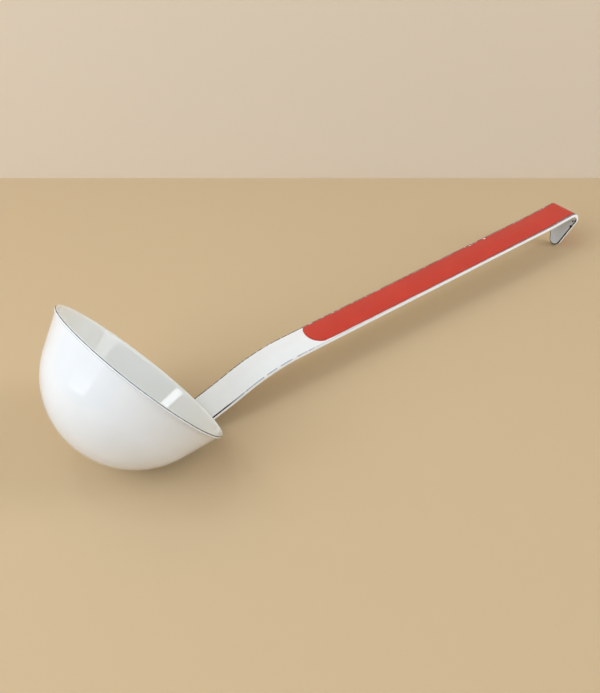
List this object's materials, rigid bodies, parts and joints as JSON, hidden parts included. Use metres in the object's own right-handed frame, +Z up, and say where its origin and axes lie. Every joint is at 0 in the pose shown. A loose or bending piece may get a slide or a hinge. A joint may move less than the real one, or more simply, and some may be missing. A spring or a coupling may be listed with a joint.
{
  "type": "soup ladle",
  "caption": "Enamelled steel soup ladle: a white round bowl with a rolled lip and a long strip handle with a crowned red grip and a hook",
  "frame": {"origin": "the middle of the ladle's box, on the table it lies on", "axes": "+X from the bowl to the hook, +Z up, and the ladle is the same on both sides of Y = 0"},
  "size_m": [0.331, 0.095, 0.0846],
  "materials": {
    "sheet_steel": "dark low-carbon sheet steel, bare only as a thin line along the lip",
    "white_enamel": "glossy fired white enamel",
    "red_enamel": "glossy fired red enamel"
  },
  "bodies": {
    "root": {"bowl_steel": "sheet_steel", "bowl_coat": "white_enamel", "bowl_lining": "white_enamel", "handle_strip": "sheet_steel", "spot_welds": "sheet_steel", "handle_coat": "white_enamel", "grip_enamel": "red_enamel"}
  },
  "joints": []
}
